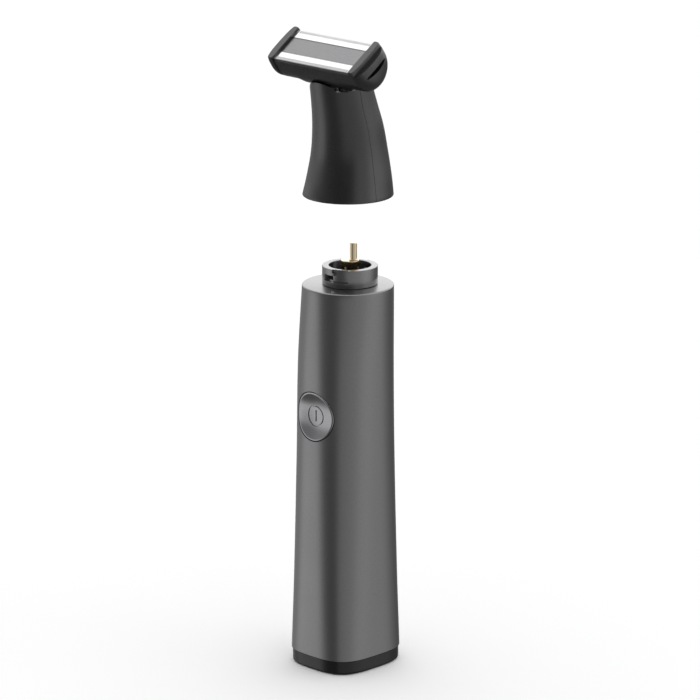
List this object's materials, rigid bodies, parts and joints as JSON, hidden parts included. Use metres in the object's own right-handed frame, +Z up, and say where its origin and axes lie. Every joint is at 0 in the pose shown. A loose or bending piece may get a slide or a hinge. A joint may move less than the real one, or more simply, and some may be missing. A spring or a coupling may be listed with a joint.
{
  "type": "body groomer",
  "caption": "Cordless body groomer with a slim metallic handle, dished power button, bayonet collar with brass crank, and a raised push-on neck carrying a pivoting twin-comb trimmer cartridge.",
  "frame": {"origin": "centre of the base cap's underside, on the surface that the groomer stands on", "axes": "+Z up along the handle towards the head, -Y towards the power button, +X to the right of someone facing the button"},
  "size_m": [0.0404, 0.0304, 0.1961],
  "materials": {
    "shell_grey": "satin metallic lacquer",
    "gloss_black": "gloss",
    "satin_black": "satin",
    "collar_grey": "satin",
    "button_grey": "metallised gloss",
    "brass": "polished",
    "steel": "polished",
    "chrome_blade": "polished",
    "rubber": "matte",
    "motor_steel": "zinc plated",
    "magnet": "matte",
    "nickel": "nickel plated",
    "copper": "enamelled copper",
    "cell_wrap": "heat-shrink wrap",
    "board_green": "solder mask",
    "chip_black": "matte",
    "nylon_white": "satin",
    "acetal_grey": "satin",
    "lead_red": "gloss",
    "lead_black": "gloss"
  },
  "bodies": {
    "handle": {"handle_shell": "shell_grey", "base_cap": "gloss_black", "base_gasket": "rubber", "base_screw_left": "steel", "base_screw_right": "steel", "head_collar": "collar_grey", "shaft_seal": "rubber", "chassis": "nylon_white", "motor_can": "motor_steel", "motor_end_bell": "satin_black", "motor_bushing": "brass", "motor_magnet_left": "magnet", "motor_magnet_right": "magnet", "motor_terminal_left": "brass", "motor_terminal_right": "brass", "battery_cell": "cell_wrap", "battery_tab_top": "nickel", "battery_tab_bottom": "nickel", "circuit_board": "board_green", "tact_switch": "steel", "control_chip": "chip_black", "charge_socket": "steel", "socket_tongue": "chip_black", "motor_lead_left": "lead_red", "motor_lead_right": "lead_black", "button_boot": "rubber"},
    "power_button": {"power_button": "button_grey"},
    "drive": {"motor_shaft": "steel", "rotor_core": "copper", "commutator": "brass", "drive_hub": "brass", "crank_pin": "brass"},
    "neck_seal": {"neck_seal_ring": "rubber"},
    "head": {"neck_front_shell": "satin_black", "neck_rear_shell": "satin_black", "coupling_sleeve": "acetal_grey", "latch_tongue_front": "acetal_grey", "latch_tongue_rear": "acetal_grey", "neck_cradle": "acetal_grey", "lever_pivot_pin": "steel", "pivot_pin_left": "steel", "pivot_pin_right": "steel"},
    "lever": {"drive_lever": "nylon_white"},
    "cartridge": {"cartridge_frame": "satin_black", "end_cap_left": "satin_black", "end_cap_right": "satin_black", "guard_front": "chrome_blade", "guard_rear": "chrome_blade", "center_panel": "satin_black"},
    "cutter": {"cutter_carrier": "acetal_grey", "cutter_front": "steel", "cutter_rear": "steel"}
  },
  "joints": [
    {"name": "power_button_press", "type": "slide", "parent": "handle", "child": "power_button", "axis": [0, 1, 0], "range_m": [0, 0.0006], "stiffness_N_per_m": 1500},
    {"name": "drive_spin", "type": "hinge", "parent": "handle", "child": "drive", "pos_m": [0, 0.0019, 0.12], "axis": [0, 0, 1], "continuous": true},
    {"name": "head_lift", "type": "slide", "parent": "handle", "child": "neck_seal", "axis": [0, 0, -1], "range_m": [0, 0.0272], "deforming": ["latch_tongue_front", "latch_tongue_rear"]},
    {"name": "head_twist", "type": "hinge", "parent": "neck_seal", "child": "head", "pos_m": [0, 0.0019, 0.15], "axis": [0, 0, -1], "range_deg": [-34, 0]},
    {"name": "lever_rock", "type": "hinge", "parent": "head", "child": "lever", "pos_m": [0, -0.0027, 0.175], "axis": [0, 1, 0], "range_deg": [0, 9.22]},
    {"name": "cartridge_pivot", "type": "hinge", "parent": "head", "child": "cartridge", "pos_m": [0, -0.0073, 0.18888], "axis": [1, 0, 0], "range_deg": [-10, 10], "stiffness_Nm_per_rad": 0.01},
    {"name": "cutter_slide", "type": "slide", "parent": "cartridge", "child": "cutter", "axis": [1, 0, 0], "range_m": [0, 0.00223]}
  ],
  "couplings": [
    {"joint": "lever_rock", "follows": "cutter_slide", "rad_per_m": 71.89}
  ]
}
